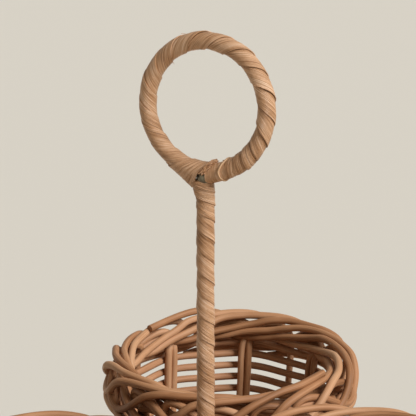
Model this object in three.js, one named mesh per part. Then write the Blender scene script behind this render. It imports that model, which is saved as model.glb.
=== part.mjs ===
// Cutlery caddy: three woven rattan cups tied round a stem that ends in a ring to carry it by.
// Millimetres, +Z up. The origin is the middle of the footprint, on the table.
import * as THREE from "three";

const { cos, sin, PI } = Math;
const radians = THREE.MathUtils.degToRad;

// Canes and the air left between them
const CANE = 3.2; // spoke cane, across its corners
const WEAVER = 2.6; // weaving cane, across its corners
const TIE = 1.8; // binding cane, across its corners
const CLEARANCE = 0.3; // air between pieces that touch on the real caddy
const WEAVE_CLEARANCE = 0.4; // air where two canes cross

// Cups
const CUP_HEIGHT = 116; // table to the top of the border
const LEFT_CUP_DROP = 8; // the front left cup is this much lower
const RIGHT_CUP_DROP = 1.5; // and the front right cup this much
const CUP_SPACING = 113.4; // between the middles of two cups
const WALL_TOP_RADIUS = 47.4; // middle of the weave under the border
const WALL_FOOT_RADIUS = 43.6; // middle of the weave at the table
const SPOKES_PER_LAYER = 4; // spokes side by side in each of the two crossed layers of a base
const WEAVE_TURNS = 14; // rounds of weaving up the wall
const WALL_WEAVERS = 2; // lengths of cane that follow one another in those rounds
const WEAVE_WAVE = 0.6; // how far the weaver swings in and out of its circle
const CORNER_RADIUS = 7; // bend of a spoke from base to wall
const BORDER_SAMPLES = 9; // straight pieces in the bent-over end of a spoke

// Border: where a stake's end lies as it goes behind the next stake, over the rim beside the second
// and down outside the third. Each row is stakes passed, steps out from the weave and steps up from
// the rim, a step being one cane and its air.
const BORDER_BENDS = [
  [0.55, -0.85, -1.75],
  [1, -1.1, -1.45],
  [1.35, -0.75, -0.75],
  [1.65, -0.3, -0.2],
  [2, 0.25, 0],
  [2.5, 1.1, -0.75],
  [3, 1.45, -2.1],
  [3.4, 1.3, -3.4],
];
const BORDER_DEPTH = 3.6; // steps below the rim where a stake starts to bend over

// Base of a cup
const HOOP = 4.6; // foot hoop cane
const HOOP_FLAT = 0.46; // depth of the flat that the cup stands on
const HOOP_FACE = 2.8; // width of that flat
const HOOP_RADIUS = 37; // middle of the foot hoop
const BASE_TURNS = 3.5; // rounds of weaving in the base
const BASE_START_RADIUS = 13; // first round of the base weave
const GROUPED_TURNS = 2; // rounds that take four spokes at a time

// Handle
const ROD = 4.8; // steel rod of stem and ring
const STEM_SIDES = 12; // flat sides of the stem's rod
const RING_SIDES = 8; // flat sides of the ring's rod
const RING_STEPS = 36; // straight pieces round the ring
const PEEL = 0.5; // thickness of the wound peel
const PEEL_LAP = 0.2; // how far the lapping edge of a peel turn stands up
const PEEL_GAP = 0.5; // between neighbouring turns of peel
const STEM_FOOT = 2; // foot of the stem above the table
const STEM_SHIFT = 4.4; // stem from the middle of the caddy towards the left cup
const RING_RADIUS = 24.8; // middle of the ring's rod
const RING_FOOT = 216.5; // middle of the ring's rod above the table, where it stands on the stem
const RING_TURN = 20.5; // degrees that the ring's plane is turned to the right cup
const RING_LEAN = 5.2; // degrees that the ring leans to the back cup
const RING_SHIFT = -0.7; // middle of the ring from the stem, along the ring's plane
const STEM_PITCH = 17; // climb of one peel strip in one turn of the stem
const RING_PEEL_TURNS = 8.5; // turns of one peel strip round the ring
const PEEL_STRIPS = 2; // strips wound side by side
const PEEL_STEPS = 10; // straight pieces in one turn of peel
const FLAP_SPAN = [-25.5, -7]; // degrees round the ring of the folded flap at the joint
const COLLAR_SPAN = [7.5, 17]; // degrees of the smooth collar on the other side
const JOINT_SLIT = 20; // degrees round the rod where flap and collar stay open
const JOINT_PANELS = 3; // flat panels over the width of flap and collar
const BINDING_ANGLE = 19.5; // degrees of the thin binding beside the collar
const BINDING_TURNS = 1.6; // turns of that binding
const BINDING = 1.1; // its thickness
const WOUND_SPAN = [30.5, 333.5]; // degrees of the ring that the two strips cover

// Ties: which gap of the weave, counted from the table, each one goes through
const STEM_TIE_GAPS = { back: [5, 12], left: [3, 10], right: [1, 8] };
const CUP_TIE_GAPS = [3, 10];
const CUP_TIE_ROWS = 2; // rounds of weaving that a tie between two cups takes in
const TIE_STEPS = 5; // straight pieces in each bend of a tie
const TIE_LAP = 50; // degrees by which the ends of a stem tie pass each other
const TIE_CLIMB = 2.7; // how far the ends of a stem tie rise and drop
const CUP_TIE_LAP = 3.6; // how far each end of a tie between cups passes the middle
const CUP_TIE_SHIFT = 3; // sideways step between those two ends

// Derived sizes
const lanes = SPOKES_PER_LAYER;
const stakes = 4 * lanes; // upright cane ends round one cup
const stepAngle = (2 * PI) / stakes;
const lanePitch = CANE + CLEARANCE;
const stakeOffset = (CANE + WEAVER) / 2 + WEAVE_CLEARANCE - WEAVE_WAVE;
const hoopTop = HOOP - HOOP_FLAT;
const baseHeight = hoopTop + CLEARANCE + CANE / 2;
const baseEdge = HOOP_RADIUS - HOOP - CANE;
const crossing = (lanes / 2) * lanePitch + CANE / 2;
const wallStart = baseHeight + CORNER_RADIUS;
const borderPitch = CANE + WEAVE_CLEARANCE;
const rodRadius = ROD / 2;
const peelInside = (rodRadius + CLEARANCE) / cos(PI / PEEL_STEPS);
const peelOutside = peelInside + PEEL + PEEL_LAP;
const clusterRadius = CUP_SPACING / Math.sqrt(3);

// Materials
const rattan = (color) => new THREE.MeshStandardMaterial({ color, roughness: 0.62, metalness: 0 });
const caneColour = "#b98c67";
const weaverColour = "#b0845f";
const peelColour = "#bd926e";
const tieColour = "#a87d58";
const steel = () => new THREE.MeshStandardMaterial({ color: "#6f6a61", roughness: 0.45, metalness: 0.9 });

const caddy = new THREE.Group();

function addPiece(name, geometry, material, parent = caddy) {
  const mesh = new THREE.Mesh(geometry, material);
  mesh.name = name;
  parent.add(mesh);
  return mesh;
}

// A point from its angle, its distance from the middle and its height.
function polar(angle, radius, height) {
  return new THREE.Vector3(radius * cos(angle), radius * sin(angle), height);
}

// A closed skin over rings of corners, each ring counter-clockwise about the way it travels and
// with an even number of corners.
function skinRings(rings) {
  const sides = rings[0].length;
  const positions = rings.flat().flatMap((corner) => corner.toArray());
  const faces = [];
  for (let ring = 0; ring < rings.length - 1; ring++) {
    for (let side = 0; side < sides; side++) {
      const a = ring * sides + side;
      const b = ring * sides + ((side + 1) % sides);
      faces.push(a, b, b + sides, a, b + sides, a + sides);
    }
  }
  const end = (rings.length - 1) * sides;
  for (let side = 0; side < sides / 2 - 1; side++) {
    const [a, b, c, d] = [side, side + 1, sides - 2 - side, sides - 1 - side];
    faces.push(a, d, b, b, d, c);
    faces.push(end + a, end + b, end + d, end + b, end + c, end + d);
  }
  const geometry = new THREE.BufferGeometry();
  geometry.setAttribute("position", new THREE.Float32BufferAttribute(positions, 3));
  geometry.setIndex(faces);
  geometry.computeVertexNormals();
  return geometry;
}

// A cane of four sides along a route. facing(index, point) gives the way one flat side looks,
// and without it the facing at the start is carried along the route without twist.
function caneAlong(route, thickness, startFacing, facing) {
  const corner = thickness / 2;
  const carried = startFacing.clone();
  const rings = route.map((point, index) => {
    const before = route[Math.max(index - 1, 0)];
    const after = route[Math.min(index + 1, route.length - 1)];
    const along = after.clone().sub(before).normalize();
    if (facing) carried.copy(facing(index, point));
    carried.addScaledVector(along, -carried.dot(along)).normalize();
    const across = along.clone().cross(carried);
    return [0, 1, 2, 3].map((side) => {
      const turn = PI / 4 + (side * PI) / 2;
      const towards = carried.clone().multiplyScalar(cos(turn)).addScaledVector(across, sin(turn));
      return point.clone().addScaledVector(towards, corner);
    });
  });
  return skinRings(rings);
}

// A flat peel strip, made of a few panels over its width. place(along, across, lift) gives a point
// on it: across runs from -1 to 1 over the width, lift is the distance above the rod's middle line.
function peelStrip(steps, panels, place, lap) {
  const acrosses = Array.from({ length: panels + 1 }, (_, panel) => (2 * panel) / panels - 1);
  const rings = [];
  for (let step = 0; step <= steps; step++) {
    const along = step / steps;
    const top = (across) => peelInside + PEEL + (lap * (across + 1)) / 2;
    const outside = acrosses.map((across) => place(along, across, top(across)));
    const inside = acrosses.map((across) => place(along, across, peelInside));
    rings.push(outside.concat(inside.reverse()));
  }
  return skinRings(rings);
}

// Least gap of a wound cane to itself, measured on points a cane's thickness apart, between
// stretches that lie further apart along the cane than the given length.
function printLeastGap(name, route, thickness, lengthApart) {
  const points = [];
  let length = 0;
  for (let index = 1; index < route.length; index++) {
    const span = route[index].distanceTo(route[index - 1]);
    const pieces = Math.ceil(span / thickness);
    for (let piece = 0; piece < pieces; piece++) {
      const point = route[index - 1].clone().lerp(route[index], piece / pieces);
      points.push({ point, at: length + (span * piece) / pieces });
    }
    length += span;
  }
  let least = Infinity;
  for (const first of points) {
    for (const second of points) {
      if (second.at - first.at > lengthApart) {
        least = Math.min(least, first.point.distanceToSquared(second.point));
      }
    }
  }
  console.log(`${name}: least gap to itself ${(Math.sqrt(least) - thickness).toFixed(2)} mm`);
}

// Wall of a cup: middle of the weave, height of a round, and place of a stake
function weaveRadius(height) {
  return WALL_FOOT_RADIUS + ((WALL_TOP_RADIUS - WALL_FOOT_RADIUS) * height) / CUP_HEIGHT;
}

function isInsideStake(stake) {
  return stake % 2 === 0;
}

function stakeRadius(stake, height) {
  return weaveRadius(height) + (isInsideStake(stake) ? -stakeOffset : stakeOffset);
}

function stakeAngle(stake) {
  return (stake + 0.5) * stepAngle;
}

function borderStart(cup) {
  return cup.height - CANE / 2 - BORDER_DEPTH * borderPitch;
}

// Height of the weave, counted in rounds from the first one at the table.
function weaveHeight(cup, rounds) {
  const first = wallStart + WEAVER / 2;
  const last = borderStart(cup) - WEAVER / 2;
  return first + ((last - first) * rounds) / WEAVE_TURNS;
}

// The bent-over end of a stake.
function borderEnd(cup, stake, angle) {
  const rim = cup.height - CANE / 2;
  const middle = weaveRadius(cup.height);
  const stakeWidth = middle * stepAngle;
  const keys = BORDER_BENDS.map(([passed, out, up]) => {
    return new THREE.Vector3(passed * stakeWidth, middle + out * borderPitch, rim + up * borderPitch);
  });
  keys.unshift(new THREE.Vector3(0, stakeRadius(stake, borderStart(cup)), borderStart(cup)));
  const curve = new THREE.CatmullRomCurve3(keys, false, "centripetal");
  return curve.getSpacedPoints(BORDER_SAMPLES).map((key) => polar(angle - key.x / middle, key.y, key.z));
}

// Half a spoke, from the crossing in the middle of the base to its end in the border.
function halfSpoke(cup, stake, axis, lane, side, raised) {
  const angle = stakeAngle(stake);
  const start = new THREE.Vector3(side * crossing, lane * lanePitch, baseHeight + raised);
  start.applyAxisAngle(new THREE.Vector3(0, 0, 1), axis);
  const foot = stakeRadius(stake, wallStart) - CORNER_RADIUS;
  const points = [start, polar(angle, baseEdge, baseHeight)];
  for (const turn of [0, PI / 6, PI / 3, PI / 2]) {
    const out = foot + CORNER_RADIUS * sin(turn);
    points.push(polar(angle, out, wallStart - CORNER_RADIUS * cos(turn)));
  }
  return points.concat(borderEnd(cup, stake, angle));
}

function addSpokes(cup, group) {
  const up = new THREE.Vector3(0, 0, 1);
  for (const layer of [0, 1]) {
    const axis = (layer * PI) / 2;
    const raised = layer === 0 ? lanePitch : 0;
    for (let index = 0; index < lanes; index++) {
      const lane = index - (lanes - 1) / 2;
      const firstStake = (layer * lanes + index - lanes / 2 + stakes) % stakes;
      const secondStake = (layer * lanes + (5 * lanes) / 2 - 1 - index) % stakes;
      const outward = halfSpoke(cup, firstStake, axis, lane, 1, raised);
      const inward = halfSpoke(cup, secondStake, axis, lane, -1, raised).reverse();
      const route = inward.concat(outward);
      const name = `${cup.name}_cup_spoke_${layer * lanes + index + 1}`;
      addPiece(name, caneAlong(route, CANE, facingAtStart(route, up)), rattan(caneColour), group);
    }
  }
}

// The facing at a route's start that, carried along, comes out as wanted in the middle of the route.
function facingAtStart(route, middleFacing) {
  const facing = middleFacing.clone();
  for (let index = Math.floor(route.length / 2) - 1; index >= 0; index--) {
    const before = route[Math.max(index - 1, 0)];
    const along = route[index + 1].clone().sub(before).normalize();
    facing.addScaledVector(along, -facing.dot(along)).normalize();
  }
  return facing;
}

// The wall is woven with lengths of cane that follow one another. Where one ends and the next one
// starts, the two lie side by side between two stakes.
function addWallWeavers(cup, group) {
  const besideShift = (WEAVER * cos(PI / 4) + WEAVE_CLEARANCE) / 2;
  const lengthInStakes = (WEAVE_TURNS * stakes) / WALL_WEAVERS;
  const outward = (index, point) => new THREE.Vector3(point.x, point.y, 0);
  for (let weaver = 0; weaver < WALL_WEAVERS; weaver++) {
    const isTop = weaver === WALL_WEAVERS - 1;
    const first = weaver * lengthInStakes;
    const last = first + lengthInStakes + (isTop ? 0 : 1);
    const route = [];
    for (let stake = first; stake <= last; stake++) {
      const overEnd = weaver > 0 && stake <= first + 1;
      const underStart = !isTop && stake >= last - 1;
      const shift = overEnd ? besideShift : underStart ? -besideShift : 0;
      const height = weaveHeight(cup, stake / stakes) + shift;
      const swing = isInsideStake(stake) ? WEAVE_WAVE : -WEAVE_WAVE;
      route.push(polar(stakeAngle(stake), weaveRadius(height) + swing, height));
    }
    const name = `${cup.name}_cup_wall_weaver_${weaver + 1}`;
    printLeastGap(name, route, WEAVER, PI * WALL_FOOT_RADIUS);
    addPiece(name, caneAlong(route, WEAVER, outward(0, route[0]), outward), rattan(weaverColour), group);
  }
}

// The base weave starts by taking each group of spokes as one and then takes them singly.
function addBaseWeaver(cup, group) {
  const lastRadius = HOOP_RADIUS - HOOP / 2 - WEAVER;
  const rise = (CANE + WEAVER) / 2 + WEAVE_CLEARANCE;
  const route = [];
  for (let stake = 0; stake <= BASE_TURNS * stakes; stake++) {
    const turns = stake / stakes;
    const radius = BASE_START_RADIUS + ((lastRadius - BASE_START_RADIUS) * turns) / BASE_TURNS;
    const inRaisedLayer = Math.floor((stake + lanes / 2) / lanes) % 2 === 0;
    const inward = Math.max(0, (baseEdge - radius) / (baseEdge - crossing));
    const spokeLift = inRaisedLayer ? lanePitch * inward : 0;
    const over = turns < GROUPED_TURNS ? !inRaisedLayer : isInsideStake(stake);
    route.push(polar(stakeAngle(stake), radius, baseHeight + spokeLift + (over ? rise : -rise)));
  }
  const up = () => new THREE.Vector3(0, 0, 1);
  const name = `${cup.name}_cup_base_weaver`;
  printLeastGap(name, route, WEAVER, PI * BASE_START_RADIUS);
  addPiece(name, caneAlong(route, WEAVER, up(), up), rattan(weaverColour), group);
}

// A hoop of cane under the spokes, with the flat that the cup stands on.
function addFootHoop(cup, group) {
  const half = HOOP / 2;
  const flat = HOOP_FACE / 2;
  const profile = [
    new THREE.Vector2(HOOP_RADIUS - flat, 0),
    new THREE.Vector2(HOOP_RADIUS + flat, 0),
    new THREE.Vector2(HOOP_RADIUS + half, hoopTop / 2),
    new THREE.Vector2(HOOP_RADIUS + flat, hoopTop),
    new THREE.Vector2(HOOP_RADIUS - flat, hoopTop),
    new THREE.Vector2(HOOP_RADIUS - half, hoopTop / 2),
  ];
  profile.push(profile[0].clone());
  const hoop = new THREE.LatheGeometry(profile, 2 * stakes);
  hoop.rotateX(PI / 2);
  addPiece(`${cup.name}_cup_foot_hoop`, hoop, rattan(caneColour), group);
}

// Cups: an inside stake of each faces the middle of the caddy
const cups = [
  { name: "back", angle: PI / 2, height: CUP_HEIGHT },
  { name: "left", angle: radians(210), height: CUP_HEIGHT - LEFT_CUP_DROP },
  { name: "right", angle: radians(330), height: CUP_HEIGHT - RIGHT_CUP_DROP },
];
for (const cup of cups) {
  cup.middle = polar(cup.angle, clusterRadius, 0);
  const group = new THREE.Group();
  group.position.copy(cup.middle);
  group.rotation.z = cup.angle + PI - stakeAngle(0);
  caddy.add(group);
  addSpokes(cup, group);
  addWallWeavers(cup, group);
  addBaseWeaver(cup, group);
  addFootHoop(cup, group);
}

// Handle: a straight rod, a ring of the same rod on top of it, both wound with peel
const stemMiddle = polar(cups[1].angle, STEM_SHIFT, 0);
const stemTop = RING_FOOT - rodRadius - CLEARANCE;
const stemGroup = new THREE.Group();
stemGroup.position.copy(stemMiddle);
const jointGroup = new THREE.Group();
jointGroup.position.set(stemMiddle.x, stemMiddle.y, RING_FOOT);
jointGroup.rotation.set(-radians(RING_LEAN), 0, -radians(RING_TURN), "ZXY");
const ringGroup = new THREE.Group();
ringGroup.position.set(RING_SHIFT, 0, RING_RADIUS);
jointGroup.add(ringGroup);
caddy.add(stemGroup, jointGroup);

const stemRod = new THREE.CylinderGeometry(rodRadius, rodRadius, stemTop - STEM_FOOT, STEM_SIDES);
stemRod.rotateX(PI / 2);
stemRod.translate(0, 0, (stemTop + STEM_FOOT) / 2);
addPiece("stem_rod", stemRod, steel(), stemGroup);

const ringRod = new THREE.TorusGeometry(RING_RADIUS, rodRadius, RING_SIDES, RING_STEPS);
ringRod.rotateX(PI / 2);
addPiece("ring_rod", ringRod, steel(), ringGroup);

// A point beside the ring's rod: around is the angle from the foot of the ring, roll the angle
// about the rod from the outside of the ring.
function besideRing(around, roll, lift) {
  const out = RING_RADIUS + lift * cos(roll);
  return new THREE.Vector3(out * sin(around), lift * sin(roll), -out * cos(around));
}

const stripHeight = STEM_PITCH / PEEL_STRIPS - PEEL_GAP;
const stemPeelTop = stemTop - rodRadius;
const stemTurns = (stemPeelTop - STEM_FOOT - stripHeight) / STEM_PITCH;
const ringSpan = radians(WOUND_SPAN[1] - WOUND_SPAN[0]);
const ringPitch = ringSpan / (RING_PEEL_TURNS + 1);
const stripAngle = ringPitch / PEEL_STRIPS - PEEL_GAP / (RING_RADIUS - peelOutside);

for (let strip = 0; strip < PEEL_STRIPS; strip++) {
  const phase = (2 * PI * strip) / PEEL_STRIPS;
  const letter = "ab"[strip];

  const onStem = (along, across, lift) => {
    const height = STEM_FOOT + stripHeight / 2 + along * stemTurns * STEM_PITCH;
    return polar(phase - 2 * PI * stemTurns * along, lift, height + (across * stripHeight) / 2);
  };
  const stemSteps = Math.round(stemTurns * PEEL_STEPS);
  addPiece(`stem_peel_${letter}`, peelStrip(stemSteps, 1, onStem, PEEL_LAP), rattan(peelColour), stemGroup);
  printLeastGap(`stem_peel_${letter}`, routeOf(onStem, stemSteps), stripHeight, STEM_PITCH);

  const ringStart = radians(WOUND_SPAN[0]) + ringPitch * ((strip + 0.5) / PEEL_STRIPS);
  const onRing = (along, across, lift) => {
    const around = ringStart + along * RING_PEEL_TURNS * ringPitch + (across * stripAngle) / 2;
    return besideRing(around, -2 * PI * RING_PEEL_TURNS * along, lift);
  };
  const ringSteps = Math.round(RING_PEEL_TURNS * PEEL_STEPS);
  addPiece(`ring_peel_${letter}`, peelStrip(ringSteps, 1, onRing, PEEL_LAP), rattan(peelColour), ringGroup);
  const ringStrip = stripAngle * RING_RADIUS;
  printLeastGap(`ring_peel_${letter}`, routeOf(onRing, ringSteps), ringStrip, ringPitch * RING_RADIUS);
}

function routeOf(place, steps) {
  return Array.from({ length: steps + 1 }, (_, step) => place(step / steps, 0, peelOutside));
}

// Joint of ring and stem: a broad flap folded over the ring on one side of the stem, a smooth
// collar on the other side, and a thin binding beside the collar
function addJointTurn(name, [from, to]) {
  const middle = radians((from + to) / 2);
  const half = radians((to - from) / 2);
  const open = radians(JOINT_SLIT);
  const onJoint = (along, across, lift) => {
    return besideRing(middle + across * half, -open / 2 - (2 * PI - open) * along, lift);
  };
  addPiece(name, peelStrip(PEEL_STEPS, JOINT_PANELS, onJoint, 0), rattan(peelColour), ringGroup);
}
addJointTurn("joint_flap", FLAP_SPAN);
addJointTurn("joint_collar", COLLAR_SPAN);

const bindingRoute = [];
const bindingLift = peelInside + BINDING / 2;
for (let step = 0; step <= BINDING_TURNS * PEEL_STEPS; step++) {
  const turns = step / PEEL_STEPS;
  const climb = (turns * (BINDING + PEEL_GAP + CLEARANCE)) / (RING_RADIUS - peelOutside);
  bindingRoute.push(besideRing(radians(BINDING_ANGLE) + climb, -2 * PI * turns, bindingLift));
}
printLeastGap("joint_binding", bindingRoute, BINDING, PI * rodRadius);
const fromRod = (index, point) => {
  const around = Math.atan2(point.x, -point.z);
  return point.clone().sub(besideRing(around, 0, 0));
};
addPiece(
  "joint_binding",
  caneAlong(bindingRoute, BINDING, fromRod(0, bindingRoute[0]), fromRod),
  rattan(tieColour),
  ringGroup,
);

// Ties of binding cane. A stem tie goes round the stem and, through the weave, round the stake
// of a cup that faces it. Its two ends lie side by side on the stem.
function addStemTie(cup, gap, level) {
  const height = weaveHeight(cup, gap + 0.5);
  const stake = cup.middle.clone().add(polar(cup.angle + PI, stakeRadius(0, height), 0));
  const reach = stake.clone().sub(stemMiddle);
  const heading = Math.atan2(reach.y, reach.x);
  const roundStem = peelOutside + CLEARANCE + TIE / 2;
  const roundStake = CANE / 2 + CLEARANCE + TIE / 2;
  const lean = Math.asin((roundStem - roundStake) / reach.length());
  const spread = PI / 2 - lean;
  const lap = radians(TIE_LAP);
  const route = [];
  for (let step = 0; step <= TIE_STEPS; step++) {
    const angle = PI + lap - ((PI + lap - spread) * step) / TIE_STEPS;
    const drop = TIE_CLIMB * (1 - step / TIE_STEPS);
    route.push(stemMiddle.clone().add(polar(heading + angle, roundStem, height - drop)));
  }
  for (let step = 0; step <= TIE_STEPS; step++) {
    const angle = spread - (2 * spread * step) / TIE_STEPS;
    route.push(stake.clone().add(polar(heading + angle, roundStake, height)));
  }
  for (let step = 0; step <= TIE_STEPS; step++) {
    const angle = -spread - ((PI + lap - spread) * step) / TIE_STEPS;
    const rise = (TIE_CLIMB * step) / TIE_STEPS;
    route.push(stemMiddle.clone().add(polar(heading + angle, roundStem, height + rise)));
  }
  const name = `${cup.name}_stem_tie_${level}`;
  printLeastGap(name, route, TIE, PI * roundStem);
  const up = () => new THREE.Vector3(0, 0, 1);
  addPiece(name, caneAlong(route, TIE, up(), up), rattan(tieColour));
}

// A tie between two cups stands upright and takes in a few rounds of both weaves. Its two ends
// lie side by side under it.
function addCupTie(first, second, gap, level) {
  const across = second.middle.clone().sub(first.middle);
  const along = across.clone().normalize();
  const sideways = new THREE.Vector3(-along.y, along.x, 0);
  const corners = [first, second].map((cup, index) => {
    const outward = along.clone().multiplyScalar(index === 0 ? 1 : -1);
    const fromStake = index === 0 ? -PI / 6 : PI / 6;
    const heights = [gap, gap + CUP_TIE_ROWS].map((row) => {
      return weaveHeight(cup, row + 0.5 + fromStake / (2 * PI));
    });
    const flatOfWeave = weaveRadius(heights[0]) * cos(stepAngle / 2);
    const inner = flatOfWeave - (WEAVER + TIE) / 2 - CLEARANCE;
    return heights.map((height) => cup.middle.clone().addScaledVector(outward, inner).setZ(height));
  });
  const [[firstLow, firstHigh], [secondLow, secondHigh]] = corners;
  const under = firstLow.clone().lerp(secondLow, 0.5);
  const lap = along.clone().multiplyScalar(CUP_TIE_LAP);
  const rounded = [under.clone().add(lap)];
  const turns = [under, firstLow, firstHigh, secondHigh, secondLow, under];
  for (let index = 1; index < turns.length - 1; index++) {
    const into = turns[index - 1].clone().sub(turns[index]).normalize();
    const outOf = turns[index + 1].clone().sub(turns[index]).normalize();
    rounded.push(turns[index].clone().addScaledVector(into, TIE));
    rounded.push(turns[index].clone().addScaledVector(outOf, TIE));
  }
  rounded.push(under.clone().sub(lap));
  const route = rounded.map((point, index) => {
    return point.addScaledVector(sideways, CUP_TIE_SHIFT * (index / (rounded.length - 1) - 0.5));
  });
  const name = `${first.name}_${second.name}_cup_tie_${level}`;
  printLeastGap(name, route, TIE, across.length() / 2);
  addPiece(name, caneAlong(route, TIE, sideways, () => sideways.clone()), rattan(tieColour));
}

const levels = ["low", "high"];
levels.forEach((level, index) => {
  cups.forEach((cup, place) => {
    addStemTie(cup, STEM_TIE_GAPS[cup.name][index], level);
    addCupTie(cup, cups[(place + 1) % cups.length], CUP_TIE_GAPS[index], level);
  });
});

// The origin goes under the middle of the caddy's outline
const outline = new THREE.Box3().setFromObject(caddy, true);
const middle = outline.getCenter(new THREE.Vector3());
caddy.position.set(-middle.x, -middle.y, -outline.min.z);

export default caddy;
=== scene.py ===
"""Looks of a rattan cutlery caddy: three woven cups tied round a wrapped stem with a carrying ring.

Routes and sizes are in millimetres until a mesh is made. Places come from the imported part.
"""
import random
from math import asin, atan2, ceil, cos, exp, pi, radians, sin, tau

import bmesh
import bpy
import numpy as np
from mathutils import Matrix, Vector, geometry, noise


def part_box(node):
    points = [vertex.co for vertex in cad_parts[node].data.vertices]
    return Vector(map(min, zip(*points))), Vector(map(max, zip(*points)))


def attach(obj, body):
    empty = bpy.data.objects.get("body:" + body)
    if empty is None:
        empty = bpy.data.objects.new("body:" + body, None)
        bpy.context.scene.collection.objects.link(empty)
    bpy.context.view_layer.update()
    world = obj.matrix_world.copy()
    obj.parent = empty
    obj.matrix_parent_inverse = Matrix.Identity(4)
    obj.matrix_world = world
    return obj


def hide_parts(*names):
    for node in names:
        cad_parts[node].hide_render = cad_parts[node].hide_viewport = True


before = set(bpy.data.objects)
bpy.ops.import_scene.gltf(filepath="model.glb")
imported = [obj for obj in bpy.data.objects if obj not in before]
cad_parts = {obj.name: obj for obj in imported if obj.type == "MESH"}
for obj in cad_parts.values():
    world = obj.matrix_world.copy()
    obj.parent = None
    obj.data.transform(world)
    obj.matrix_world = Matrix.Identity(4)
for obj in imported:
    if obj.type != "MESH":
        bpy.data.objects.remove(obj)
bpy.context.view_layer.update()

MM = 0.001  # metres in a millimetre
NOISE_SEED = 1  # without one, vector noise starts from the clock and differs in each run
noise.seed_set(NOISE_SEED)

# Canes
SPOKE = 3.2  # spoke cane, which is also stake and border strand
WEAVER = 3.2  # weaving cane of wall and base
TIE = 1.7  # binding cane of the ties
HOOP = 4.6  # foot hoop cane
CANE_STEP = 1.8  # length of one ring of a cane's mesh
CANE_ROUNDNESS = 3  # gives ten sides
CANE_WOBBLE = 0.22  # how far a cane strays from its route
WEAVER_WOBBLE = 0.12  # the same for a weaver in the wall
HELD_WOBBLE = 0.1  # and for base weavers, hoops and ties, which are held closer
WOBBLE_LENGTH = 26.0  # length over which a cane strays to and fro
CANE_SWELL = 0.09  # share by which its thickness varies
SWELL_LENGTH = 14.0  # length over which it swells and thins
SEED_MOST = 900.0  # a seed, drawn from 0 to this, sets a cane's noise and shifts its grain
MERGE_DISTANCE = 0.002  # corners closer than this become one
SHARP_ANGLE = radians(55)  # an edge that bends more than this stays sharp

# Places in the noise, which keep these patterns from following each other
STRAY_AT = 0.5
SWELL_AT = 7.5
ROUNDS_AT = 3.1
EDGE_AT = 2.5

# Cups
STAKES = 16  # upright cane ends round one cup
WALL_TOP_RADIUS = 47.4  # middle of the weave under the border
WALL_FOOT_RADIUS = 43.6  # middle of the weave at the table
CUP_HEIGHT = 116.0  # height at which the wall has its top radius
WEAVE_PITCH = 5.6  # climb of one round of weaving up the wall, about
WEAVE_OVER = 2.6  # how far the last round lies above the start of the border
WEAVE_WAVE = 1.05  # how far the weaver swings in and out of its circle
WEAVER_SPANS = 6  # places on its route from one stake to the next
WEAVE_STRAY = 0.5  # how far a round strays up and down
WEAVE_STRAY_STEP = 0.37  # step in that noise from one stake to the next
WALL_BENDS = 6  # bends of a stake between corner and border
CORNER_RADIUS = 7.0  # bend of a spoke from base to wall
STAKE_LEAN = radians(-7)  # how far round the cup the stakes lean at the rim
BY_STAKE_ASIDE = 3.0  # between the middles of a stake and its by-stake
BASE_EDGE = 29.2  # radius where the spokes lie on the foot hoop's level
HOOP_RADIUS = 37.0  # middle of the foot hoop
HOOP_SPAN = radians(359.3)  # its ends butt, with a hair's gap
HOOP_STEPS = 180  # places on its route
BASE_START_RADIUS = 12.5  # first round of the base weave
BASE_END_RADIUS = 32.4  # last round of the base weave
BASE_TURNS = 5.5  # rounds of weaving in the base
GROUPED_TURNS = 2  # rounds that take four spokes at a time
LANE_PITCH = 3.4  # between spokes that lie side by side

# Border: how a stake's end bends over, runs along the outside, comes up, runs along the top and then
# along the inside, how its by-stake's end follows it outside, and how the end of some stakes is cut off
# on the top. Each row is stakes passed, millimetres out from the weave and millimetres up from the rim.
STAKE_BENDS = (
    (0.0, 0.0, -9.0),
    (0.06, 0.3, -5.6),
    (0.3, 0.9, -3.8),
    (0.7, 2.4, -5.4),
    (1.05, 3.9, -9.4),
    (1.4, 4.9, -13.2),
    (1.75, 5.3, -14.4),
    (2.1, 5.4, -12.0),
    (2.45, 5.5, -7.2),
    (2.75, 4.8, -2.4),
    (3.1, 2.9, -0.4),
    (3.6, 0.9, 0.0),
    (4.1, -0.9, 0.0),
    (4.6, -2.6, -0.6),
    (5.0, -4.0, -2.4),
    (5.4, -4.6, -4.2),
    (6.2, -4.7, -6.8),
    (6.7, -4.2, -8.8),
    (7.1, -1.8, -9.8),
    (7.4, 1.0, -10.6),
)
BY_STAKE_BENDS = (
    (0.06, 0.1, -8.4),
    (0.3, 0.6, -7.0),
    (0.7, 1.6, -8.2),
    (1.1, 3.0, -12.0),
    (1.5, 4.4, -16.2),
    (2.0, 5.2, -17.8),
    (2.7, 5.3, -17.8),
    (3.2, 4.7, -18.6),
    (3.6, 2.9, -19.8),
)
SHORT_END_BENDS = (
    (3.1, 3.4, 0.4),
    (3.5, 1.4, 2.0),
    (4.1, 0.2, 2.4),
    (4.9, -1.2, 2.4),
)
SHORT_ENDS = {"back": (6, 14), "left": (0, 8), "right": (1, 11)}  # stakes that are cut off so
SHORT_FROM = 10  # bends of such a stake's end that are like the others'
BORDER_DEPTH = 13.0  # below the rim's strands, where a stake starts to bend over
BORDER_LATE = 0.14  # stakes by which an end is laid too early or too late
BORDER_LATE_FROM = 3  # stakes that it has passed before it is that late in full
BORDER_OFF = 0.25  # how far a bend is off, up or down and outwards or inwards
RIM_DIPS = {"back": (155, 2.5), "left": (100, 2.0), "right": (200, 2.0)}  # degrees round, and how deep
RIM_DIP_SPAN = radians(32)  # a dip's half width

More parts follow.
